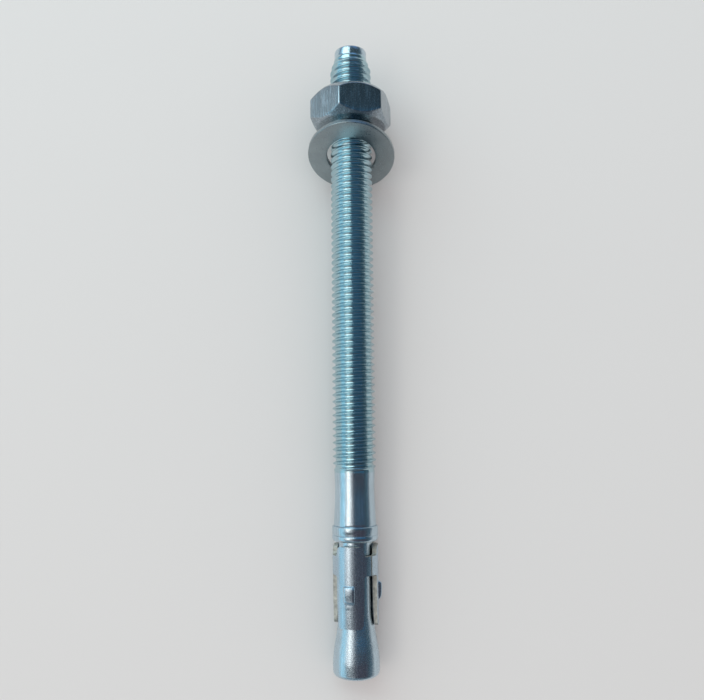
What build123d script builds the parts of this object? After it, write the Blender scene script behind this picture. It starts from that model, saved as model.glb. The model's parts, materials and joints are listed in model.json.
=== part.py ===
from build123d import *
from math import asin, atan2, cos, degrees, hypot, radians, sin
import os

# Wedge anchor M10 x 140, all lengths in mm.
# The thread is a plain cylinder at its crests, and the nut's bore one just over it.
# Stations are distances along the bolt's axis from the end of the threaded point.
# Angles round the axis run from straight up towards +X.
# The anchor lies at rest on the lower edge of its leaning washer and on the end of its cone,
# with the threaded point towards +Y.

# ---- stud ----
stud_length = 140.0
dog_radius = 3.7
dog_length = 1.95
dog_edge = 0.25
thread_radius = 4.75
thread_start = 4.9
runout_length = 1.5
runout_radius = 4.42
shank_length = 12.95
waist_below_thread = 4.0
waist_radius = 4.32
swell_above_collar = 3.45
swell_radius = 4.46
shank_end_radius = 4.68
collar_height = 3.2
collar_radius = 5.0
collar_edge = 0.12
collar_line_depth = 0.07
collar_line_half = 0.09
collar_line_drop = 1.75
collar_round_drop = 2.35
collar_foot_radius = 4.62
neck_radius = 3.6
neck_length = 14.55
cone_length = 13.4
cone_middle_height = 9.4
cone_middle_radius = 4.07
cone_knee_height = 4.8
cone_knee_radius = 4.81
end_band_height = 2.7
end_round = 1.0

# ---- expansion clip ----
clip_clearance = 0.2
clip_length = 17.4
clip_outer_radius = 4.95
sheet = 1.0
fingers = 3
slot_angle = 45.0
slot_direction = 44.0
upper_slot_depth = 2.7
band_height = 4.0
finger_corner = 0.9
slot_corner = 0.6
flare_length = 4.2
flare = 0.2
seam_gap = 0.25
pad_drop = 8.3
pad_length = 3.9
pad_width = 2.5
pad_height = 0.72
pad_ramp = 0.35
pad_crest = 1.65
pad_edge = 0.14

# ---- washer ----
washer_radius = 10.0
washer_hole_radius = 5.62
washer_thickness = 1.1
washer_below_nut = 6.52
washer_lean = 25.8
washer_turn = -3.5
washer_edge = 0.12

# ---- nut ----
nut_start = 11.0
nut_height = 7.5
nut_across_flats = 16.8
nut_face_radius = 7.95
nut_corner_angle = -15.7
nut_bore_clearance = 0.06
nut_bore_chamfer = 0.6

# ---- stations that follow from these sizes ----
cone_start = stud_length - cone_length
collar_start = cone_start - neck_length - collar_height
neck_start = collar_start + collar_height
thread_end = collar_start - shank_length
collar_line = collar_start + collar_line_drop
clip_top = neck_start + clip_clearance
clip_bottom = clip_top + clip_length
pad_top = clip_top + pad_drop
washer_station = nut_start + nut_height + washer_below_nut

# ---- how the anchor lies ----
# Two points carry it: the leaning washer's lower edge and the rounded end of the cone.
# The washer's turn is about the plumb line, so it doesn't change how high its centre is.
washer_tilt = radians(washer_lean)
edge_offset = washer_thickness / 2 - washer_edge
edge_station = washer_station + washer_radius * sin(washer_tilt) - edge_offset * cos(washer_tilt)
edge_depth = washer_radius * cos(washer_tilt) + edge_offset * sin(washer_tilt)
heel_station = stud_length - end_round
heel_depth = collar_radius - end_round
reach = heel_station - edge_station
drop = edge_depth - heel_depth
lean = atan2(drop, reach) - asin(end_round / hypot(reach, drop))
point_height = heel_station * sin(lean) + heel_depth * cos(lean) + end_round
point_reach = stud_length / 2 * cos(lean)

point = Vector(0, point_reach, point_height)
down_bolt = Vector(0, -cos(lean), -sin(lean))
up_bolt = Vector(0, -sin(lean), cos(lean))
side = Vector(1, 0, 0)
bolt_axis = Axis(point, down_bolt)


def along(angle):
    """The plane through the bolt's axis at an angle: x outwards, y down the bolt."""
    outwards = up_bolt * cos(radians(angle)) + side * sin(radians(angle))
    return Plane(origin=point, x_dir=outwards, z_dir=outwards.cross(down_bolt))


def across(station):
    """The plane square to the bolt at a station: x to the side, y upwards, z down the bolt."""
    return Plane(origin=point + down_bolt * station, x_dir=side, z_dir=down_bolt)


def polar(angle):
    """The angle in an across() plane, from its x, of an angle measured from straight up."""
    return 90 - angle


def station_of(place):
    """How far a point lies down the bolt."""
    return (place - point).dot(down_bolt)


# ---- stud: one turned outline ----
with BuildPart() as stud:
    with BuildSketch(along(90)):
        with BuildLine():
            Polyline(
                (0, 0),
                (dog_radius - dog_edge, 0),
                (dog_radius, dog_edge),
                (dog_radius, dog_length),
                (thread_radius, thread_start),
                (thread_radius, thread_end),
                (runout_radius, thread_end + runout_length),
            )
            Spline(
                (runout_radius, thread_end + runout_length),
                (waist_radius, thread_end + waist_below_thread),
                (swell_radius, collar_start - swell_above_collar),
                (shank_end_radius, collar_start),
            )
            Polyline(
                (shank_end_radius, collar_start),
                (collar_radius - collar_edge, collar_start),
                (collar_radius, collar_start + collar_edge),
                (collar_radius, collar_line - collar_line_half),
                (collar_radius - collar_line_depth, collar_line),
                (collar_radius, collar_line + collar_line_half),
                (collar_radius, collar_start + collar_round_drop),
            )
            Spline(
                (collar_radius, collar_start + collar_round_drop),
                (collar_foot_radius, neck_start),
                tangents=[(0, 1), (-1, 0.35)],
            )
            Polyline(
                (collar_foot_radius, neck_start),
                (neck_radius, neck_start),
                (neck_radius, cone_start),
            )
            Spline(
                (neck_radius, cone_start),
                (cone_middle_radius, stud_length - cone_middle_height),
                (cone_knee_radius, stud_length - cone_knee_height),
                (collar_radius, stud_length - end_band_height),
                tangents=[(0, 1), (0, 1)],
            )
            Line((collar_radius, stud_length - end_band_height), (collar_radius, heel_station))
            RadiusArc(
                (collar_radius, heel_station),
                (collar_radius - end_round, stud_length),
                -end_round,
            )
            Polyline(
                (collar_radius - end_round, stud_length),
                (0, stud_length),
                (0, 0),
            )
        make_face()
    revolve(axis=bolt_axis)

# ---- expansion clip: a rolled sheet with three fingers each way ----
clip_inner_radius = clip_outer_radius - sheet
band_top = clip_top + upper_slot_depth
band_bottom = band_top + band_height
finger_angle = 360 / fingers
half_slot = radians(slot_angle / 2)
cutter = clip_outer_radius * 2
pad_radius = clip_outer_radius + pad_height
pad_root = clip_outer_radius - sheet / 2
pad_angle = degrees(pad_width / pad_radius)
pad_direction = slot_direction - finger_angle / 2
corner_reach = sheet * 1.5
nearby = 0.1


def corner_edges(station):
    """The sheet's corners at a station: short straight edges that run outwards."""
    return (
        clip.edges()
        .filter_by(GeomType.LINE)
        .filter_by(lambda edge: edge.length < corner_reach)
        .filter_by(lambda edge: abs(station_of(edge.position_at(0)) - station) < nearby)
        .filter_by(lambda edge: abs(station_of(edge.position_at(1)) - station) < nearby)
    )


with BuildPart() as pad:
    with BuildSketch(along(pad_direction + pad_angle / 2)):
        with BuildLine():
            Polyline(
                (pad_root, pad_top),
                (clip_outer_radius, pad_top),
                (pad_radius, pad_top + pad_ramp),
                (pad_radius, pad_top + pad_ramp + pad_crest),
                (clip_outer_radius, pad_top + pad_length),
                (pad_root, pad_top + pad_length),
                close=True,
            )
        make_face()
    revolve(axis=bolt_axis, revolution_arc=pad_angle)
    fillet(
        pad.edges().filter_by(
            lambda edge: (edge.center() - point).cross(down_bolt).length
            > clip_outer_radius + pad_edge
        ),
        radius=pad_edge,
    )

with BuildPart() as clip:
    with BuildSketch(along(90)):
        with BuildLine():
            Polyline(
                (clip_inner_radius, clip_top),
                (clip_outer_radius, clip_top),
                (clip_outer_radius, clip_bottom),
                (clip_inner_radius + flare, clip_bottom),
                (clip_inner_radius, clip_bottom - flare_length),
                close=True,
            )
        make_face()
    revolve(axis=bolt_axis)

    # slots between the fingers, above and below the band
    for slot_start, slot_depth in (
        (clip_top, upper_slot_depth),
        (band_bottom, clip_bottom - band_bottom),
    ):
        with BuildSketch(across(slot_start)):
            with PolarLocations(0, fingers, start_angle=polar(slot_direction)):
                Polygon(
                    (0, 0),
                    (cutter * cos(half_slot), -cutter * sin(half_slot)),
                    (cutter * cos(half_slot), cutter * sin(half_slot)),
                    align=None,
                )
        extrude(amount=slot_depth, mode=Mode.SUBTRACT)
    fillet(corner_edges(band_top), radius=slot_corner)
    fillet(corner_edges(band_bottom), radius=slot_corner)
    fillet(corner_edges(clip_top), radius=finger_corner)
    fillet(corner_edges(clip_bottom), radius=finger_corner)

    # the open seam where the rolled strip's ends meet
    with BuildSketch(across(band_top)):
        with PolarLocations(0, 1, start_angle=polar(slot_direction)):
            Rectangle(cutter, seam_gap, align=(Align.MIN, Align.CENTER))
    extrude(amount=band_height, mode=Mode.SUBTRACT)

    # one raised pad on each finger
    for finger in range(fingers):
        add(pad.part.rotate(bolt_axis, finger * finger_angle))

# ---- washer: it leans on the thread, lower edge towards the cone, and is turned a little aside ----
leaning_plane = across(washer_station).rotated((-washer_lean, 0, 0))
washer_plane = leaning_plane.rotated((0, 0, washer_turn))
with BuildPart() as washer:
    with BuildSketch(washer_plane):
        Circle(washer_radius)
        Circle(washer_hole_radius, mode=Mode.SUBTRACT)
    extrude(amount=washer_thickness / 2, both=True)
    chamfer(
        washer.edges().filter_by(GeomType.CIRCLE).group_by(SortBy.RADIUS)[-1],
        length=washer_edge,
    )

# ---- nut ----
nut_corner_radius = nut_across_flats / 2 / cos(radians(30))
nut_bore_radius = thread_radius + nut_bore_clearance
nut_rise = nut_corner_radius - nut_face_radius
with BuildPart() as nut:
    with BuildSketch(across(nut_start)):
        RegularPolygon(nut_corner_radius, side_count=6, rotation=polar(nut_corner_angle))
        Circle(nut_bore_radius, mode=Mode.SUBTRACT)
    extrude(amount=nut_height)
    chamfer(
        nut.edges().filter_by(GeomType.CIRCLE).group_by(SortBy.RADIUS)[0],
        length=nut_bore_chamfer,
    )
    # both ends are turned to a cone, which rounds off the corners
    with BuildSketch(along(90)):
        with BuildLine():
            Polyline(
                (0, nut_start),
                (nut_face_radius, nut_start),
                (nut_corner_radius, nut_start + nut_rise),
                (nut_corner_radius, nut_start + nut_height - nut_rise),
                (nut_face_radius, nut_start + nut_height),
                (0, nut_start + nut_height),
                close=True,
            )
        make_face()
    revolve(axis=bolt_axis, mode=Mode.INTERSECT)

os.makedirs("parts", exist_ok=True)
stud.part.label = "stud"
clip.part.label = "expansion_clip"
washer.part.label = "washer"
nut.part.label = "hex_nut"
export_step(stud.part, "parts/stud.step")
export_step(clip.part, "parts/expansion_clip.step")
export_step(washer.part, "parts/washer.step")
export_step(nut.part, "parts/hex_nut.step")
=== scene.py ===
import bpy
import bmesh
import json
import numpy as np
from bpy.props import FloatProperty, FloatVectorProperty, IntProperty, PointerProperty
from bpy.types import Operator, Panel, PropertyGroup
from math import atan2, cos, pi, radians, sin, tan
from mathutils import Matrix, Vector


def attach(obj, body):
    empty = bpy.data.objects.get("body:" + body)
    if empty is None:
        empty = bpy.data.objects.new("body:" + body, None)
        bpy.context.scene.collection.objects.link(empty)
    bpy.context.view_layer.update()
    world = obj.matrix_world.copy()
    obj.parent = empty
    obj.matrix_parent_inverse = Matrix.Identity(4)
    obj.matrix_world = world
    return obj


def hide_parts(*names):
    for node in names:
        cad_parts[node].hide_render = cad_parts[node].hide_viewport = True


bl_info = {
    "name": "Wedge anchor",
    "version": (1, 0, 0),
    "blender": (4, 5, 0),
    "location": "View3D > Sidebar > Anchor",
    "description": "A zinc-plated M10 wedge anchor lying on a pale floor",
    "category": "Object",
}

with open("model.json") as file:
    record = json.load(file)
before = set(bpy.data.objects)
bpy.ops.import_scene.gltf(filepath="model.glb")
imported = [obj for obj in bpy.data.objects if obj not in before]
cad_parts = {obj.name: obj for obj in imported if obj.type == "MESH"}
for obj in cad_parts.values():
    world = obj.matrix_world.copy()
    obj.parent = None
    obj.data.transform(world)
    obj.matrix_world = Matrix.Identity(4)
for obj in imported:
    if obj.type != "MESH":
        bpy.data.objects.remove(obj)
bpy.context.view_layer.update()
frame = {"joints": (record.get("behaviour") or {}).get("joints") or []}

MM = 0.001
TURN = 2 * pi


# ---------------------------------------------------------------- sizes and colours


def length(name, description, default):
    return FloatProperty(
        name=name, description=description, default=default * MM, subtype="DISTANCE", unit="LENGTH", precision=5
    )


def colour(name, description, default):
    return FloatVectorProperty(
        name=name, description=description, default=default, subtype="COLOR", size=3, min=0.0, max=1.0
    )


class StudSizes(PropertyGroup):
    total: length("Length", "From the threaded point's end to the cone's end", 140.0)
    dog_radius: length("Point radius", "Radius of the smooth point in front of the thread", 3.7)
    dog_length: length("Point length", "Length of the smooth point", 1.95)
    crest_radius: length("Crest radius", "Radius over the thread's crests", 4.75)
    pitch: length("Pitch", "Distance from crest to crest", 1.5)
    first_crest: length("First crest", "Station of a crest on the bolt's upper line", 0.5975)
    crest_round: length("Crest rounding", "Radius of the rolled crests, seen in section", 0.15)
    root_round: length("Root rounding", "Radius in the thread's roots, seen in section", 0.46)
    thread_start: length("Thread start", "Where the crests reach their full radius", 4.9)
    thread_end: length("Thread end", "Where the crests start to run out", 95.9)
    runout_length: length("Run-out", "Length in which the thread fades into the shank", 1.5)
    blank_radius: length("Blank radius", "Radius of the bar that the thread is rolled on", 4.42)
    collar_start: length("Collar start", "Station of the collar's upper edge", 108.85)
    collar_height: length("Collar height", "Length of the collar", 3.2)
    collar_radius: length("Collar radius", "Radius of the collar and of the cone's end band", 5.0)
    collar_foot: length("Collar foot", "Radius of the collar's rounded lower edge", 4.62)
    collar_line: length("Collar line", "How far the fine groove lies below the collar's upper edge", 1.95)
    neck_radius: length("Neck radius", "Radius of the reduced neck inside the clip", 3.6)
    cone_length: length("Cone length", "From the neck to the end", 13.4)
    end_band: length("End band", "Length of the band at the cone's end, its rounding included", 2.7)
    end_round: length("End rounding", "Radius of the rounding at the cone's end", 1.0)


class ClipSizes(PropertyGroup):
    top: length("Top", "Station of the upper edge", 112.90)
    height: length("Height", "Length of the clip", 16.75)
    radius: length("Outer radius", "Radius of the rolled sheet's outside", 4.95)
    sheet: length("Sheet", "Thickness of the sheet", 1.0)
    tab: length("Upper tab", "Length of the tabs above the band", 2.05)
    tab_corner: length("Tab corner", "Radius of the upper tabs' corners", 1.1)
    band: length("Band", "Width of the band between the tabs and the fingers", 4.0)
    finger_corner: length("Finger corner", "Radius of the fingers' corners", 0.9)
    slot_corner: length("Slot corner", "Radius in the corners of the slots", 0.6)
    crease: length("Crease", "How far the crease in the outer wall lies below the upper edge", 12.6)
    flare: length("Flare", "How far the inner wall opens towards the cone", 0.2)
    flare_length: length("Flare length", "Length over which the inner wall opens", 4.2)
    seam: length("Seam", "Width of the gap where the rolled strip's ends meet", 0.25)
    slot_angle: FloatProperty(name="Slot angle", description="Angle of each slot", default=radians(45), subtype="ANGLE")
    slot_direction: FloatProperty(
        name="Slot direction", description="Direction of the slot with the seam", default=radians(44), subtype="ANGLE"
    )
    pad_top: length("Pad top", "Station of the pads' upper edge", 120.85)
    pad_length: length("Pad length", "Length of a pad", 3.9)
    pad_width: length("Pad width", "Width of a pad", 2.5)
    pad_height: length("Pad height", "How far a pad stands out", 0.72)


class WasherSizes(PropertyGroup):
    radius: length("Radius", "Outer radius", 10.0)
    hole: length("Hole radius", "Radius of the hole", 5.62)
    thickness: length("Thickness", "Thickness of the ring", 1.1)
    station: length("Station", "Where the washer's middle lies on the bolt", 25.02)
    lean: FloatProperty(
        name="Lean", description="How far the loose washer leans on the thread", default=radians(25.8), subtype="ANGLE"
    )
    turn: FloatProperty(
        name="Turn",
        description="How far it is then turned about the plumb line",
        default=radians(-3.5),
        subtype="ANGLE",
    )
    round: length("Rim rounding", "Rounding of the punched edges", 0.16)


class NutSizes(PropertyGroup):
    start: length("Start", "Station of the upper face", 11.0)
    height: length("Height", "Height of the nut", 7.5)
    across_flats: length("Across flats", "Width over two opposite flats", 16.8)
    face_radius: length("Face radius", "Radius where the end chamfers begin", 7.95)
    corner_round: length("Corner rounding", "Rounding of the six corners", 0.4)
    edge_round: length("Edge rounding", "Rounding between the flats and the end chamfers", 0.4)
    clearance: length("Thread clearance", "Play between the nut's thread and the stud's", 0.05)
    minor_radius: length("Minor radius", "Radius of the bore over the nut's thread crests", 4.25)
    mouth_radius: length("Mouth radius", "Radius of the bore's chamfer at each face", 5.45)
    corner: FloatProperty(
        name="Corner direction", description="Direction of one corner", default=radians(-15.7), subtype="ANGLE"
    )


class Finish(PropertyGroup):
    stud: colour("Stud", "Colour of the stud's plating", (0.50, 0.61, 0.68))
    thread: colour("Thread", "Colour of the rolled thread's plating", (0.44, 0.60, 0.65))
    clip: colour("Clip", "Colour of the clip's plating", (0.47, 0.57, 0.645))
    edge: colour("Sheared edge", "Colour of the clip's torn edges", (0.60, 0.60, 0.55))
    # Painted shade: the washer's tint is its plating colour darkened well below the stud's, standing in for darker
    # surroundings seen in its reflections.
    washer: colour("Washer", "Colour of the washer's plating", (0.32, 0.36, 0.375))
    # Painted shade: the nut's tint is its plating colour darkened well below the stud's, standing in for darker
    # surroundings seen in its reflections.
    nut: colour("Nut", "Colour of the nut's plating", (0.30, 0.345, 0.38))


class StageSizes(PropertyGroup):
    floor: colour("Floor", "Colour of the floor", (0.68, 0.68, 0.68))
    sky: colour("Surroundings", "Colour of the light from all round", (0.80, 0.75, 0.745))
    floor_radius: FloatProperty(name="Floor radius", description="Radius of the floor", default=4.0, unit="LENGTH")
    lens: FloatProperty(name="Lens", description="Focal length on a 36 mm sensor", default=36.03)


class AnchorSettings(PropertyGroup):
    stud: PointerProperty(type=StudSizes)
    clip: PointerProperty(type=ClipSizes)
    washer: PointerProperty(type=WasherSizes)
    nut: PointerProperty(type=NutSizes)
    finish: PointerProperty(type=Finish)
    stage: PointerProperty(type=StageSizes)
    columns: IntProperty(name="Columns", description="Columns round the stud", default=84, min=12)


# ---------------------------------------------------------------- the bolt's axis


def bolt_axes(settings):
    """The point's centre, and the unit vectors down the bolt, up from it and to its side."""
    joint = next(j for j in frame["joints"] if j["name"] == "nut_turn")
    down = np.array(joint["axis"], float)
    down /= np.linalg.norm(down)
    side = np.array((1.0, 0.0, 0.0))
    up = np.cross(down, side)
    middle = settings.nut.start + settings.nut.height / 2
    return np.array(joint["pos_m"], float) - down * middle, down, up, side


def round_bolt(settings, radius, angle, station):
    """Points at a radius, an angle (from straight up towards +X) and a station (down the bolt):
    tip + station * down + radius * (cos(angle) * up + sin(angle) * side)."""
    tip, down, up, side = bolt_axes(settings)
    radius, angle, station = np.broadcast_arrays(radius, angle, station)
    out = np.cos(angle)[..., None] * up + np.sin(angle)[..., None] * side
    return tip + station[..., None] * down + radius[..., None] * out


def smooth_step(x):
    """0 below 0, 1 above 1, and 3x^2 - 2x^3 between."""
    x = np.clip(x, 0.0, 1.0)
    return x * x * (3 - 2 * x)


def curve_through(points, count, first=None, last=None):
    """A cubic through (radius, station) points, each span p(t) = h00 a + h10 m + h01 b + h11 n with
    slopes m, n from the neighbours; first and last are the slopes dr/ds at its two ends."""
    p = np.array(points, float)
    r, s = p[:, 0], p[:, 1]
    slope = np.gradient(r, s)
    if first is not None:
        slope[0] = first
    if last is not None:
        slope[-1] = last
    at = np.linspace(s[0], s[-1], count)
    k = np.clip(np.searchsorted(s, at, side="right") - 1, 0, len(s) - 2)
    h = s[k + 1] - s[k]
    t = (at - s[k]) / h
    value = (
        (2 * t**3 - 3 * t**2 + 1) * r[k]
        + (t**3 - 2 * t**2 + t) * h * slope[k]
        + (3 * t**2 - 2 * t**3) * r[k + 1]
        + (t**3 - t**2) * h * slope[k + 1]
    )
    return np.stack([value, at], 1)


def arc(centre, radius, start, end, count):
    """Points centre + radius * (cos a, sin a) as (radius, station), a running from start to end."""
    a = np.linspace(start, end, count)
    return np.stack([centre[0] + radius * np.cos(a), centre[1] + radius * np.sin(a)], 1)


def grid_quads(rows, columns, loop=False):
    """Quads of a grid whose columns run on to column `columns`; with loop the last row joins the first.
    They face outwards when rows run down the bolt and columns towards +X."""
    i, j = np.meshgrid(np.arange(rows if loop else rows - 1), np.arange(columns), indexing="ij")
    n = columns + 1
    below = (i + 1) % rows
    return np.stack([i * n + j, below * n + j, below * n + j + 1, i * n + j + 1], -1).reshape(-1, 4)


def build_piece(name, body, node, points, quads, sharp, materials, marks=None):
    """One object from points and quads: doubles merged, edges over `sharp` kept sharp, riding on its body."""
    mesh = bpy.data.meshes.new(name)
    mesh.from_pydata(points.reshape(-1, 3), [], quads)
    for material in materials:
        mesh.materials.append(material)
    if marks is not None:
        mesh.polygons.foreach_set("material_index", np.asarray(marks, np.int32))
    work = bmesh.new()
    work.from_mesh(mesh)
    bmesh.ops.remove_doubles(work, verts=work.verts, dist=1e-7)
    work.to_mesh(mesh)
    work.free()
    mesh.polygons.foreach_set("use_smooth", np.ones(len(mesh.polygons), bool))
    mesh.set_sharp_from_angle(angle=sharp)
    mesh.update()
    piece = bpy.data.objects.new(name, mesh)
    bpy.context.scene.collection.objects.link(piece)
    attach(piece, body)
    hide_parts(node)
    return piece


# ---------------------------------------------------------------- threads


FLANK = radians(60)


def thread_depth(stud):
    """Crest to root for flanks at 60 degrees off the crest line, both ends of a flank being tangent to an
    arc: pitch sin(60) less the two radii."""
    return stud.pitch * sin(FLANK) - stud.crest_round - stud.root_round


def thread_drop(stud, station, angle):
    """How far the thread's surface lies under its crests. The distance x off the nearest crest line, which
    climbs one pitch a turn (right-hand), goes through three parts: an arc on the crest, a straight flank and
    an arc in the root."""
    turns = (station - stud.first_crest) / stud.pitch + angle / TURN
    x = np.abs(turns - np.round(turns)) * stud.pitch
    top, low = stud.crest_round, stud.root_round
    crest = top - np.sqrt(np.maximum(top**2 - x**2, 0))
    flank = top * (1 - cos(FLANK)) + (x - top * sin(FLANK)) * sin(FLANK) / cos(FLANK)
    to_root = stud.pitch / 2 - x
    root = thread_depth(stud) - low + np.sqrt(np.maximum(low**2 - to_root**2, 0))
    return np.where(x < top * sin(FLANK), crest, np.where(to_root < low * sin(FLANK), root, flank))


def thread_rows(stud, start, end, angle):
    """Stations (rows x columns) that follow the helix between two ends: lines on the crest's arc, the flank
    and the root's arc, each moved one pitch up per turn and held between the ends."""
    crest = stud.crest_round * np.sin(FLANK * np.array((0, 0.3, 0.65, 1)))
    root = stud.pitch / 2 - stud.root_round * np.sin(FLANK * np.array((1, 0.45)))
    half = np.concatenate([crest, [(crest[-1] + root[0]) / 2], root]) / stud.pitch
    lines = np.concatenate([half, [0.5], 1 - half[:0:-1]])
    first = np.floor((start - stud.first_crest) / stud.pitch) - 1
    last = np.ceil((end - stud.first_crest) / stud.pitch) + 2
    turns = (np.arange(first, last + 1)[:, None] + lines).ravel()
    station = stud.first_crest + stud.pitch * (turns[:, None] - angle[None, :] / TURN)
    return np.clip(station, start, end)


# ---------------------------------------------------------------- stud


# Rows of the rounding at the cone's end, and of the whole cone with it.
HEEL_ROWS = 10
CONE_ROWS = 41


def stud_surface(settings):
    """r(station, angle): the turned outline, with the thread wave cut into it between the point and the
    run-out. In the tapered start the wave is shallow, and in the run-out crest and root meet at the blank.
    Returns the points and the zone of each span between rows: 0 drawn bar, 1 thread, 2 cone."""
    stud = settings.stud
    angle = np.linspace(0, TURN, settings.columns + 1)
    edge = 0.25 * MM
    start, end = stud.dog_length, stud.thread_end + stud.runout_length

    point = np.array(
        [
            (0, 0),
            (stud.dog_radius - edge - 0.5 * MM, 0),
            (stud.dog_radius - edge, 0.03 * MM),
            (stud.dog_radius - edge * 0.45, edge * 0.4),
            (stud.dog_radius, edge * 1.4),
            (stud.dog_radius, start - 0.3 * MM),
        ]
    )
    station = thread_rows(stud, start, end, angle)
    drop = thread_drop(stud, station, angle[None, :])
    rise = np.clip((station - start) / (stud.thread_start - start), 0, 1)
    crest = stud.dog_radius + (stud.crest_radius - stud.dog_radius) * rise
    fade = smooth_step((end - station) / (stud.runout_length + 0.3 * MM))
    threaded = crest - drop * smooth_step(rise * 1.1)
    radius = stud.blank_radius + (threaded - stud.blank_radius) * np.where(station > stud.thread_start, fade, 1)

    c, h = stud.collar_start, stud.collar_height
    big, foot, neck = stud.collar_radius, stud.collar_foot, stud.neck_radius
    neck_start, cone_start = c + h, stud.total - stud.cone_length
    line = c + stud.collar_line
    band, heel = stud.total - stud.end_band, stud.total - stud.end_round
    below = np.concatenate(
        [
            curve_through(
                [
                    (stud.blank_radius, end),
                    (4.32 * MM, end + 2.9 * MM),
                    (4.46 * MM, c - 3.45 * MM),
                    (4.64 * MM, c - 0.12 * MM),
                ],
                28,
            ),
            [(4.58 * MM, c)],
            arc((big - 0.26 * MM, c + 0.26 * MM), 0.26 * MM, -pi / 2, 0, 8),
            [(big, line - 0.14 * MM), (big - 0.04 * MM, line - 0.07 * MM), (big - 0.11 * MM, line)],
            [(big - 0.04 * MM, line + 0.07 * MM), (big, line + 0.14 * MM)],
            curve_through([(big, c + 2.35 * MM), (4.86 * MM, c + 2.95 * MM), (foot, neck_start)], 8, first=0),
            [(neck + 0.1 * MM, neck_start), (neck, neck_start + 0.1 * MM)],
            curve_through(
                [
                    (neck, cone_start),
                    (4.07 * MM, stud.total - 9.4 * MM),
                    (4.81 * MM, stud.total - 4.8 * MM),
                    (big, band),
                ],
                CONE_ROWS - HEEL_ROWS - 1,
                first=0,
                last=0,
            ),
            arc((big - stud.end_round, heel), stud.end_round, 0, pi / 2, HEEL_ROWS),
            [(0, stud.total)],
        ]
    )
    rows = [
        (np.repeat(point[:, :1], len(angle), 1), np.repeat(point[:, 1:], len(angle), 1)),
        (radius, station),
        (np.repeat(below[:, :1], len(angle), 1), np.repeat(below[:, 1:], len(angle), 1)),
    ]
    spans = np.arange(sum(len(r) for r, s in rows) - 1)
    threaded = (spans >= len(point)) & (spans < len(point) + len(radius) - 1)
    coned = spans >= len(spans) + 1 - CONE_ROWS
    zones = np.where(threaded, 1, np.where(coned, 2, 0))
    radius = np.concatenate([r for r, s in rows])
    station = np.concatenate([s for r, s in rows])
    return round_bolt(settings, radius, angle[None, :], station), zones


# ---------------------------------------------------------------- nut


def hexagon(nut, angle):
    """The radius of a hexagon with rounded corners: f / cos(a) on a flat, a being the angle from the flat's
    middle, and c cos(b) + sqrt(q^2 - c^2 sin^2(b)) at a corner, b being the angle from the corner."""
    flat, q = nut.across_flats / 2, nut.corner_round
    b = (angle - nut.corner + pi / 6) % (pi / 3) - pi / 6
    a = pi / 6 - np.abs(b)
    c = (flat - q) / cos(pi / 6)
    corner = c * np.cos(b) + np.sqrt(np.maximum(q * q - (c * np.sin(b)) ** 2, 0))
    meet = pi / 6 - atan2(c * sin(pi / 6), flat)
    return np.where(np.abs(b) < meet, corner, flat / np.cos(a))


def nut_angles(nut):
    """Column angles: 7 across each corner's rounding and 12 across each flat, their shared ends included."""
    flat, q = nut.across_flats / 2, nut.corner_round
    c = (flat - q) / cos(pi / 6)
    meet = pi / 6 - atan2(c * sin(pi / 6), flat)
    corner = np.linspace(-meet, meet, 7)
    flat_part = np.linspace(meet, pi / 3 - meet, 12)[1:-1]
    one = np.concatenate([corner, flat_part])
    every = (nut.corner + np.arange(6)[:, None] * pi / 3 + one).ravel()
    return np.append(every, every[0] + TURN)


def nut_surface(settings):
    """A closed profile for each column: the bore with the stud's thread wave one clearance outside it, its
    two mouths at 45 degrees, the end faces, and the hexagon cut by a 45-degree cone at each end, with an arc
    of radius q between cone and flat, tangent to both."""
    nut, stud = settings.nut, settings.stud
    angle = nut_angles(nut)
    top, bottom = nut.start, nut.start + nut.height
    bore = thread_rows(stud, top, bottom, angle)[::-1]
    thread = stud.crest_radius + nut.clearance - thread_drop(stud, bore, angle[None, :])
    thread = np.maximum(thread, nut.minor_radius)
    inset = np.minimum(bore - top, bottom - bore)
    bore_radius = np.maximum(thread, nut.mouth_radius - inset)

    hexa = hexagon(nut, angle)
    face, rise = nut.face_radius, hexa - nut.face_radius
    ones = np.ones_like(hexa)
    faces = np.linspace(0, 1, 5)[:, None]
    chamfer = np.linspace(0, 1, 6)[:-1, None]
    flat = np.linspace(0, 1, 9)[1:-1, None]
    mouth = nut.mouth_radius
    q = nut.edge_round
    reach = q * tan(pi / 8)
    turn = np.linspace(pi / 4, 0, 6)[:, None]
    slope = (rise - reach * sin(pi / 4)) * chamfer
    round_r = hexa - q + q * np.cos(turn)
    round_s = rise + reach - q * np.sin(turn)
    radius = np.concatenate(
        [
            (mouth + (face - mouth) * faces[:-1]) * ones,
            face + slope,
            round_r,
            hexa + 0 * flat,
            round_r[::-1],
            (face + slope)[::-1],
            (face + (mouth - face) * faces[1:]) * ones,
            bore_radius,
        ]
    )
    station = np.concatenate(
        [
            top + 0 * faces[:-1] * ones,
            top + slope,
            top + round_s,
            top + rise + reach + (nut.height - 2 * (rise + reach)) * flat,
            (bottom - round_s)[::-1],
            (bottom - slope)[::-1],
            bottom + 0 * faces[1:] * ones,
            bore,
        ]
    )
    return round_bolt(settings, radius, angle[None, :], station)


# ---------------------------------------------------------------- washer


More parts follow.
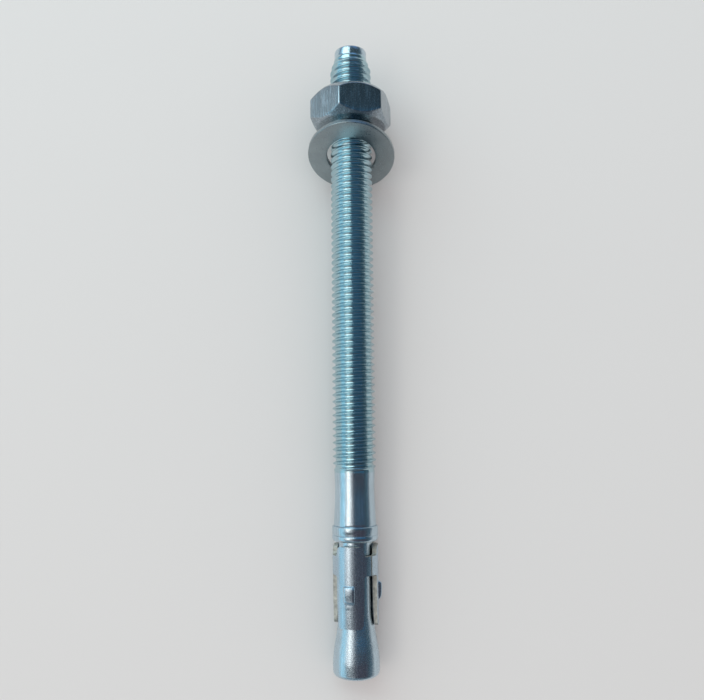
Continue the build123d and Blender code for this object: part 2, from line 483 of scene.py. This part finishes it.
def washer_surface(settings):
    """A ring: a rectangle with rounded corners carried round a circle, on a plane that leans towards the
    cone and is then turned about the plumb line."""
    w = settings.washer
    tip, down, up, side = bolt_axes(settings)
    half, q, n = w.thickness / 2, w.round, 6
    profile = np.concatenate(
        [
            arc((w.radius - q, -half + q), q, -pi / 2, 0, n),
            arc((w.radius - q, half - q), q, 0, pi / 2, n),
            [(w.radius * 0.78, half), (w.radius * 0.66, half)],
            arc((w.hole + q, half - q), q, pi / 2, pi, n),
            arc((w.hole + q, -half + q), q, pi, 1.5 * pi, n),
            [(w.radius * 0.66, -half), (w.radius * 0.78, -half)],
        ]
    )
    angle = np.linspace(0, TURN, 129)
    normal = cos(w.lean) * down + sin(w.lean) * up
    across = cos(w.lean) * up - sin(w.lean) * down
    turned = np.array(Matrix.Rotation(w.turn, 3, "Z"))
    normal, across, side = turned @ normal, turned @ across, turned @ side
    out = np.cos(angle)[:, None] * across + np.sin(angle)[:, None] * side
    middle = tip + w.station * down
    return middle + profile[:, None, :1] * out[None] + profile[:, None, 1:] * normal


# ---------------------------------------------------------------- expansion clip


def clip_walls(settings, station):
    """The radii of the outer and inner walls at a station. The outer wall steps in at a crease and tapers
    below it, and the inner wall flares towards the cone."""
    c = settings.clip
    low, crease = c.top + c.height, c.top + c.crease
    step = 0.04 * MM * smooth_step((station - crease + 0.2 * MM) / (0.4 * MM))
    taper = 0.03 * MM * np.clip((station - crease) / (low - crease), 0, 1)
    flare = c.flare * np.clip((station - low + c.flare_length) / c.flare_length, 0, 1)
    return c.radius - step - taper, c.radius - c.sheet + flare


def clip_patches(settings):
    """The strip's outer wall as patches of (angle, station) grids. A third of it is a finger and half a slot
    on either side. A column at a distance x from a corner's side ends q - sqrt(q^2 - (q - x)^2) short, which
    rounds the corner. Tab, band and finger are three zones of rows, which meet where the slots' sides end."""
    c = settings.clip
    finger = (TURN / 3 - c.slot_angle) / 2
    q, p, t = c.finger_corner, c.slot_corner, c.tab_corner
    band_top = c.top + c.tab
    band_low = band_top + c.band
    low = c.top + c.height
    turn_in = 1 - np.cos(np.linspace(0, pi / 2, 7))

    def short(x, size):
        return size - np.sqrt(np.maximum(size**2 - np.maximum(size - x, 0) ** 2, 0))

    x = np.concatenate([turn_in * q, np.linspace(q, c.radius * finger, 9)[1:]])
    x = np.concatenate([x, x[-2::-1]])
    a = np.concatenate([-finger + x[:15] / c.radius, finger - x[15:] / c.radius])
    down_tab = np.linspace(0, 1, 7)[:, None]
    down_band = np.linspace(0, 1, 9)[:, None]
    down_finger = np.concatenate(
        [np.linspace(0, 0.55, 12), np.linspace(0.55, 0.65, 9)[1:], np.linspace(0.65, 1, 9)[1:]]
    )[:, None]
    line_top, line_low = band_top - p, band_low + p

    patches = []
    for third in range(3):
        centre = c.slot_direction - TURN / 6 + third * TURN / 3
        top = c.top + short(x, t)
        tab = top + (line_top - top) * down_tab
        band = line_top + (line_low - line_top) * down_band + 0 * x
        end = low - short(x, q)
        blade = line_low + (end - line_low) * down_finger
        tab_width = 1 - 0.03 * (line_top - tab) / (line_top - c.top)
        blade_width = 1 - 0.085 * ((blade - line_low) / (low - line_low)) ** 1.5
        patches += [(centre + a * tab_width, tab), (centre + a + 0 * band, band), (centre + a * blade_width, blade)]
        for sign, seam in ((-1, third == 1), (1, third == 0)):
            reach = c.radius * c.slot_angle / 2 - (c.seam / 2 if seam else 0)
            y = np.concatenate([turn_in * p, np.linspace(p, reach, 6)[1:]])
            if sign < 0:
                y = y[::-1]
            top = band_top - short(y, p)
            end = band_low + short(y, p)
            slot = centre + sign * (finger + y / c.radius)
            patches.append((slot + 0 * down_band, top + (end - top) * down_band))
    return patches


def clip_surface(settings):
    """Both walls of the strip and the cut faces between them: the patches are joined where they meet, and
    each edge that only one quad has is a boundary, which gets a face from the outer to the inner wall."""
    angle, station, quads, used = [], [], [], 0
    for a, s in clip_patches(settings):
        quads.append(grid_quads(a.shape[0], a.shape[1] - 1) + used)
        angle.append(a.ravel())
        station.append(s.ravel())
        used += a.size
    angle, station, quads = np.concatenate(angle), np.concatenate(station), np.concatenate(quads)
    outer, inner = clip_walls(settings, station)
    wall = round_bolt(settings, outer, angle, station)
    _, first, place = np.unique(np.round(wall / 1e-7).astype(np.int64), axis=0, return_index=True, return_inverse=True)
    quads = place.reshape(-1)[quads]
    angle, station = angle[first], station[first]
    outer, inner = clip_walls(settings, station)
    points = np.concatenate(
        [round_bolt(settings, outer, angle, station), round_bolt(settings, inner, angle, station)]
    )
    edges = np.concatenate([quads[:, [k, (k + 1) % 4]] for k in range(4)])
    _, where, times = np.unique(np.sort(edges, 1), axis=0, return_index=True, return_counts=True)
    rim = edges[where[times == 1]]
    n = len(first)
    sides = np.stack([rim[:, 1], rim[:, 0], rim[:, 0] + n, rim[:, 1] + n], 1)
    faces = np.concatenate([quads, quads[:, ::-1] + n, sides])
    marks = np.repeat([0, 0, 1], [len(quads), len(quads), len(sides)])
    return points, faces, marks


# How deep a pad reaches into the sheet, as a share of its height.
PAD_FOOT = -0.5


def pad_surface(settings, direction):
    """A raised pad: height(u, v) over an angle and a station, with steep rounded sides and a longer ramp
    down the bolt. Its edge goes down into the sheet, where a second grid at one radius closes it. Returns
    the two grids."""
    c = settings.clip
    half = c.pad_width / 2
    q = 0.42 * MM
    turn_in = np.linspace(0, pi / 2, 5)
    across = np.concatenate([[-half], -half + q * (1 - np.cos(turn_in)), np.linspace(-half + q, half - q, 9)[1:-1]])
    lift = np.concatenate([[-1.0], -0.75 * (1 - np.sin(turn_in)), np.zeros(7)])
    across = np.concatenate([across, -across[:6][::-1]])
    lift = np.concatenate([lift, lift[:6][::-1]])
    along = np.array((0, 0, 0.05, 0.13, 0.24, 0.38, 0.6, 0.9, 1.4, 1.9, 2.4, 2.8, 3.1, 3.4, 3.62, 3.8, 3.9)) / 3.9
    height = np.array((-1, 0.3, 0.5, 0.70, 0.86, 0.95, 0.99, 1.0, 0.99, 0.97, 0.92, 0.87, 0.80, 0.66, 0.42, 0.16, -1))
    rise = np.minimum(height[:, None], height[:, None] + lift[None, :])
    rise = np.maximum(rise, PAD_FOOT)
    rise[:, [0, -1]] = PAD_FOOT
    bulge = 0.06 * MM * (1 - (across / half) ** 2) * (rise > 0.3)
    radius = c.radius + c.pad_height * rise + bulge
    angle = direction + across / c.radius + 0 * rise
    station = c.pad_top + c.pad_length * along[:, None] + 0 * rise
    foot = c.radius + c.pad_height * PAD_FOOT
    return round_bolt(settings, radius, angle, station), round_bolt(settings, foot, angle, station)


# ---------------------------------------------------------------- finishes


def node(tree, kind, place, **values):
    """A node with its plain properties set."""
    made = tree.nodes.new(kind)
    made.location = place
    for key, value in values.items():
        setattr(made, key, value)
    return made


def zinc(
    name,
    tint,
    rough=0.26,
    grain=0.25,
    grain_size=0.16,
    streak=0.0,
    spread=0.10,
    metallic=1.0,
    mottle=(0.90, 1.08),
    mottle_size=3.0,
):
    """Zinc plating: a metal whose roughness and colour wander over the surface, with a fine grain in its
    relief and, where the bar or strip was drawn, lighter streaks along the bolt. Sizes are in mm."""
    material = bpy.data.materials.new(name)
    material.use_nodes = True
    tree = material.node_tree
    tree.nodes.clear()
    out = node(tree, "ShaderNodeOutputMaterial", (900, 0))
    metal = node(tree, "ShaderNodeBsdfPrincipled", (600, 0))
    metal.inputs["Metallic"].default_value = metallic
    tree.links.new(metal.outputs[0], out.inputs[0])
    place = node(tree, "ShaderNodeTexCoord", (-900, 0))

    patches = node(tree, "ShaderNodeTexNoise", (-600, 300))
    patches.inputs["Scale"].default_value = 1 / (mottle_size * MM)
    patches.inputs["Detail"].default_value = 3
    tree.links.new(place.outputs["Object"], patches.inputs["Vector"])
    shade = node(tree, "ShaderNodeMix", (-200, 400), data_type="RGBA")
    shade.inputs["A"].default_value = (*[c * mottle[0] for c in tint], 1)
    shade.inputs["B"].default_value = (*[min(c * mottle[1], 1) for c in tint], 1)
    tree.links.new(patches.outputs["Fac"], shade.inputs["Factor"])
    tree.links.new(shade.outputs["Result"], metal.inputs["Base Color"])

    fine = node(tree, "ShaderNodeTexNoise", (-600, 0))
    fine.inputs["Scale"].default_value = 1 / (grain_size * MM)
    fine.inputs["Detail"].default_value = 4
    fine.inputs["Roughness"].default_value = 0.6
    tree.links.new(place.outputs["Object"], fine.inputs["Vector"])
    dull = node(tree, "ShaderNodeMapRange", (-200, 100))
    dull.inputs["From Min"].default_value = 0.3
    dull.inputs["From Max"].default_value = 0.7
    dull.inputs["To Min"].default_value = rough - spread / 2
    dull.inputs["To Max"].default_value = rough + spread / 2
    tree.links.new(fine.outputs["Fac"], dull.inputs["Value"])
    tree.links.new(dull.outputs["Result"], metal.inputs["Roughness"])

    relief = node(tree, "ShaderNodeBump", (200, -300))
    relief.inputs["Strength"].default_value = grain
    relief.inputs["Distance"].default_value = 0.03 * MM
    tree.links.new(fine.outputs["Fac"], relief.inputs["Height"])
    last = relief
    if streak:
        stretch = node(tree, "ShaderNodeMapping", (-600, -400))
        stretch.inputs["Scale"].default_value = (4200, 130, 4200)
        tree.links.new(place.outputs["Object"], stretch.inputs["Vector"])
        lines = node(tree, "ShaderNodeTexNoise", (-300, -400))
        lines.inputs["Scale"].default_value = 1.0
        lines.inputs["Detail"].default_value = 5
        lines.inputs["Roughness"].default_value = 0.65
        tree.links.new(stretch.outputs[0], lines.inputs["Vector"])
        drawn = node(tree, "ShaderNodeBump", (400, -400))
        drawn.inputs["Strength"].default_value = streak
        drawn.inputs["Distance"].default_value = 0.03 * MM
        tree.links.new(lines.outputs["Fac"], drawn.inputs["Height"])
        scratched = node(tree, "ShaderNodeMapRange", (0, -150))
        scratched.inputs["From Min"].default_value = 0.50
        scratched.inputs["From Max"].default_value = 0.66
        scratched.inputs["To Min"].default_value = 1.0
        scratched.inputs["To Max"].default_value = 1.0 + streak
        tree.links.new(lines.outputs["Fac"], scratched.inputs["Value"])
        brighter = node(tree, "ShaderNodeVectorMath", (200, 250), operation="SCALE")
        tree.links.new(shade.outputs["Result"], brighter.inputs[0])
        tree.links.new(scratched.outputs["Result"], brighter.inputs["Scale"])
        tree.links.new(brighter.outputs["Vector"], metal.inputs["Base Color"])
        tree.links.new(relief.outputs[0], drawn.inputs["Normal"])
        last = drawn
    tree.links.new(last.outputs[0], metal.inputs["Normal"])
    return material


# ---------------------------------------------------------------- operators


class ANCHOR_OT_stud(Operator):
    """Build the stud with its rolled thread, collar, neck and cone"""

    bl_idname = "anchor.stud"
    bl_label = "Stud"

    def execute(self, context):
        settings = context.scene.wedge_anchor
        points, zones = stud_surface(settings)
        quads = grid_quads(points.shape[0], points.shape[1] - 1)
        marks = np.repeat(zones, points.shape[1] - 1)
        finish = zinc("stud_zinc", settings.finish.stud, rough=0.21, grain=0.75, grain_size=0.28, streak=0.30)
        rolled = zinc("thread_zinc", settings.finish.thread, rough=0.22, grain=0.04, grain_size=0.3)
        coned = zinc("cone_zinc", settings.finish.stud, rough=0.27, grain=0.9, grain_size=0.28, streak=0.25)
        build_piece(
            "stud_threaded", "stud", "stud", points, quads, radians(40), [finish, rolled, coned], marks
        )
        return {"FINISHED"}


class ANCHOR_OT_clip(Operator):
    """Build the rolled expansion clip with its fingers, slots and pads"""

    bl_idname = "anchor.clip"
    bl_label = "Expansion clip"

    def execute(self, context):
        settings = context.scene.wedge_anchor
        points, faces, marks = clip_surface(settings)
        c = settings.clip
        used = len(points)
        for third in range(3):
            raised, foot = pad_surface(settings, c.slot_direction - TURN / 6 + third * TURN / 3)
            grid = grid_quads(raised.shape[0], raised.shape[1] - 1)
            size = raised.shape[0] * raised.shape[1]
            points = np.concatenate([points, raised.reshape(-1, 3), foot.reshape(-1, 3)])
            faces = np.concatenate([faces, grid + used, grid[:, ::-1] + used + size])
            marks = np.concatenate([marks, np.zeros(2 * len(grid), int)])
            used = len(points)
        plate = zinc("clip_zinc", settings.finish.clip, rough=0.28, grain=0.34, grain_size=0.22, streak=0.25)
        torn = zinc(
            "clip_edge",
            settings.finish.edge,
            rough=0.50,
            grain=1.0,
            grain_size=0.22,
            spread=0.3,
            metallic=0.55,
            mottle=(0.15, 1.5),
            mottle_size=0.9,
        )
        piece = build_piece(
            "clip_rolled", "clip", "expansion_clip", points, faces, radians(180), [plate, torn], marks
        )
        bevel = piece.modifiers.new("worn edges", "BEVEL")
        bevel.width = 0.10 * MM
        bevel.segments = 2
        bevel.limit_method = "ANGLE"
        bevel.angle_limit = radians(50)
        bevel.harden_normals = True
        return {"FINISHED"}


class ANCHOR_OT_washer(Operator):
    """Build the loose flat washer, leaning on the thread"""

    bl_idname = "anchor.washer"
    bl_label = "Washer"

    def execute(self, context):
        settings = context.scene.wedge_anchor
        points = washer_surface(settings)
        quads = grid_quads(points.shape[0], points.shape[1] - 1, loop=True)
        # The washer's tint carries painted shade: its plating colour darkened for darker reflected surroundings.
        finish = zinc(
            "washer_zinc",
            settings.finish.washer,
            rough=0.30,
            grain=0.3,
            grain_size=0.3,
            mottle=(0.78, 1.18),
            mottle_size=4.0,
        )
        build_piece("washer_ring", "washer", "washer", points, quads, radians(40), [finish])
        return {"FINISHED"}


class ANCHOR_OT_nut(Operator):
    """Build the chamfered hexagon nut with its threaded bore"""

    bl_idname = "anchor.nut"
    bl_label = "Nut"

    def execute(self, context):
        settings = context.scene.wedge_anchor
        points = nut_surface(settings)
        quads = grid_quads(points.shape[0], points.shape[1] - 1, loop=True)
        # The nut's tint carries painted shade: its plating colour darkened for darker reflected surroundings.
        finish = zinc("nut_zinc", settings.finish.nut, rough=0.24, grain=0.06, streak=1.0, mottle=(0.80, 1.08))
        build_piece("nut_threaded", "nut", "hex_nut", points, quads, radians(30), [finish])
        return {"FINISHED"}


def soft_light(name, middle, size, colour, radiance):
    """A rectangular lamp that faces the floor's middle line at its own height along Y, and whose power gives
    it that radiance."""
    lamp = bpy.data.lights.new(name, "AREA")
    lamp.shape = "RECTANGLE"
    lamp.size, lamp.size_y = size
    lamp.color = colour
    lamp.energy = radiance * pi * size[0] * size[1]
    placed = bpy.data.objects.new(name, lamp)
    placed.location = middle
    placed.rotation_euler = (Vector((0, middle[1], 0)) - Vector(middle)).to_track_quat("-Z", "Y").to_euler()
    placed.visible_camera = False
    bpy.context.scene.collection.objects.link(placed)


def card(name, edges):
    """A card beside the set that only the metal's reflections show: a strip through pairs of points, each
    pair with its colour, which blends from pair to pair."""
    points = [point for left, right, tone in edges for point in (left, right)]
    tones = np.array([(*tone, 1) for left, right, tone in edges for _ in range(2)], np.float32)
    quads = [(2 * k, 2 * k + 1, 2 * k + 3, 2 * k + 2) for k in range(len(edges) - 1)]
    mesh = bpy.data.meshes.new(name)
    mesh.from_pydata(points, [], quads)
    mesh.color_attributes.new("tone", "FLOAT_COLOR", "POINT").data.foreach_set("color", tones.ravel())
    glow = bpy.data.materials.new(name)
    glow.use_nodes = True
    tree = glow.node_tree
    tree.nodes.clear()
    out = node(tree, "ShaderNodeOutputMaterial", (400, 0))
    light = node(tree, "ShaderNodeEmission", (200, 0))
    tone = node(tree, "ShaderNodeAttribute", (0, 0), attribute_name="tone")
    tree.links.new(tone.outputs["Color"], light.inputs["Color"])
    tree.links.new(light.outputs[0], out.inputs[0])
    mesh.materials.append(glow)
    made = bpy.data.objects.new(name, mesh)
    bpy.context.scene.collection.objects.link(made)
    for ray in ("camera", "diffuse", "transmission", "volume_scatter", "shadow"):
        setattr(made, "visible_" + ray, False)


def span(axis, at, ends, tone, **fixed):
    """A card's edge: the pair of points at `at` along one axis that differ along another."""
    points = []
    for end in ends[1:]:
        place = {axis: at, ends[0]: end, **fixed}
        points.append((place["x"], place["y"], place["z"]))
    return (*points, tone)


class ANCHOR_OT_stage(Operator):
    """Build the floor, the lamps, the cards and the camera"""

    bl_idname = "anchor.stage"
    bl_label = "Stage"

    def execute(self, context):
        settings = context.scene.wedge_anchor
        stage = settings.stage
        scene = context.scene
        scene.view_settings.view_transform = "Standard"

        angle = np.linspace(0, TURN, 97)[:-1]
        mesh = bpy.data.meshes.new("floor")
        rim = np.stack([np.cos(angle), np.sin(angle), 0 * angle], 1) * stage.floor_radius
        mesh.from_pydata(rim, [], [list(range(96))])
        floor = bpy.data.objects.new("floor", mesh)
        scene.collection.objects.link(floor)
        matt = bpy.data.materials.new("floor_matt")
        matt.use_nodes = True
        shader = matt.node_tree.nodes["Principled BSDF"]
        shader.inputs["Base Color"].default_value = (*stage.floor, 1)
        shader.inputs["Roughness"].default_value = 0.9
        shader.inputs["Specular IOR Level"].default_value = 0.0
        mesh.materials.append(matt)

        world = bpy.data.worlds.new("surroundings")
        world.use_nodes = True
        world.node_tree.nodes["Background"].inputs["Color"].default_value = (*stage.sky, 1)
        scene.world = world

        soft_light("key", (-0.36, -0.13, 0.50), (0.47, 0.17), (1.0, 0.932, 0.853), 1.61)
        soft_light("window", (-0.33, 0.53, 0.52), (0.56, 1.15), (0.63, 0.95, 1.0), 1.70)
        wall, over, roof, edge = 0.56, 0.36, 0.50, -0.13
        near, bend, far = -1.2, 0.33, 1.2
        wall_near, wall_far = ("y", near, bend), ("y", bend, far)
        card(
            "fill_left",
            [
                span("z", 0.0, wall_near, (0.50, 0.70, 0.80), x=-wall),
                span("z", 0.10, wall_near, (0.57, 0.91, 1.07), x=-wall),
                span("z", 0.38, wall_near, (0.65, 1.01, 1.16), x=-wall),
            ],
        )
        card(
            "fill_far",
            [
                span("z", 0.0, wall_far, (0.09, 0.12, 0.17), x=-wall),
                span("z", 0.10, wall_far, (0.12, 0.19, 0.27), x=-wall),
                span("z", 0.38, wall_far, (0.56, 0.90, 1.12), x=-wall),
            ],
        )
        warm, plain, blue, sky = (0.08, 0.07, 0.09), (0.07, 0.08, 0.09), (0.04, 0.17, 0.31), (0.31, 0.52, 0.92)
        dim = (0.05, 0.07, 0.08)
        card(
            "flag_over",
            [
                ((edge, at, roof), (wall, at, over), tone)
                for at, edge, tone in (
                    (near, -0.13, warm),
                    (-0.16, -0.13, warm),
                    (-0.09, -0.13, plain),
                    (-0.05, -0.12, plain),
                    (0.0, -0.075, blue),
                    (0.18, -0.075, blue),
                    (0.24, -0.075, dim),
                    (0.60, -0.075, dim),
                    (0.75, -0.075, sky),
                    (far, -0.075, sky),
                )
            ],
        )
        card(
            "flag_right",
            [
                span("z", 0.0, ("y", near, far), (0.11, 0.14, 0.17), x=wall),
                span("z", 0.16, ("y", near, far), (0.10, 0.16, 0.20), x=wall),
                span("z", over, ("y", near, far), (0.04, 0.06, 0.07), x=wall),
            ],
        )
        card(
            "flag_corner",
            [
                ((-wall, at, 0.34), (edge, at, 0.66), (0.04, 0.06, 0.07))
                for at in (-0.40, -0.215)
            ],
        )
        card(
            "flag_front",
            [
                span("x", -wall, ("z", 0.0, roof), (0.27, 0.38, 0.44), y=-0.6),
                span("x", wall, ("z", 0.0, roof), (0.07, 0.10, 0.13), y=-0.6),
            ],
        )
        card(
            "flag_back",
            [
                span("x", -wall, ("z", 0.0, roof), (0.27, 0.43, 0.53), y=far),
                span("x", wall, ("z", 0.0, roof), (0.07, 0.12, 0.17), y=far),
            ],
        )
        tip, down, up, side = bolt_axes(settings)
        lens = bpy.data.cameras.new("camera")
        lens.sensor_width = 36
        lens.lens = stage.lens
        lens.clip_start = 0.001
        lens.shift_x = -0.0005
        lens.shift_y = 0.0029
        camera = bpy.data.objects.new("camera", lens)
        place = tip + (88.60 * down + 157.05 * up - 0.216 * side) * MM
        back = 0.1123 * down + 0.99367 * up
        top = -0.99362 * down + 0.1123 * up + 0.01013 * side
        back /= np.linalg.norm(back)
        right = np.cross(top, back)
        right /= np.linalg.norm(right)
        top = np.cross(back, right)
        matrix = np.eye(4)
        matrix[:3, 0], matrix[:3, 1], matrix[:3, 2], matrix[:3, 3] = right, top, back, place
        camera.matrix_world = Matrix(matrix.tolist())
        scene.collection.objects.link(camera)
        scene.camera = camera
        return {"FINISHED"}


class ANCHOR_PT_panel(Panel):
    """The anchor's sizes and the buttons that build its pieces"""

    bl_idname = "ANCHOR_PT_panel"
    bl_label = "Wedge anchor"
    bl_space_type = "VIEW_3D"
    bl_region_type = "UI"
    bl_category = "Anchor"

    def draw(self, context):
        settings = context.scene.wedge_anchor
        for label, group in (
            ("Stud", settings.stud),
            ("Clip", settings.clip),
            ("Washer", settings.washer),
            ("Nut", settings.nut),
            ("Finish", settings.finish),
            ("Stage", settings.stage),
        ):
            box = self.layout.box()
            box.label(text=label)
            for key in group.__annotations__:
                box.prop(group, key)
        for operator in OPERATORS:
            self.layout.operator(operator.bl_idname)


GROUPS = (StudSizes, ClipSizes, WasherSizes, NutSizes, Finish, StageSizes, AnchorSettings)
OPERATORS = (ANCHOR_OT_stud, ANCHOR_OT_clip, ANCHOR_OT_washer, ANCHOR_OT_nut, ANCHOR_OT_stage)


def register():
    for one in (*GROUPS, *OPERATORS, ANCHOR_PT_panel):
        bpy.utils.register_class(one)
    bpy.types.Scene.wedge_anchor = PointerProperty(type=AnchorSettings)


def unregister():
    del bpy.types.Scene.wedge_anchor
    for one in reversed((*GROUPS, *OPERATORS, ANCHOR_PT_panel)):
        bpy.utils.unregister_class(one)


def main():
    """Registers the classes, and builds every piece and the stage."""
    register()
    for operator in OPERATORS:
        group, name = operator.bl_idname.split(".")
        getattr(getattr(bpy.ops, group), name)()


if __name__ == "__main__":
    main()
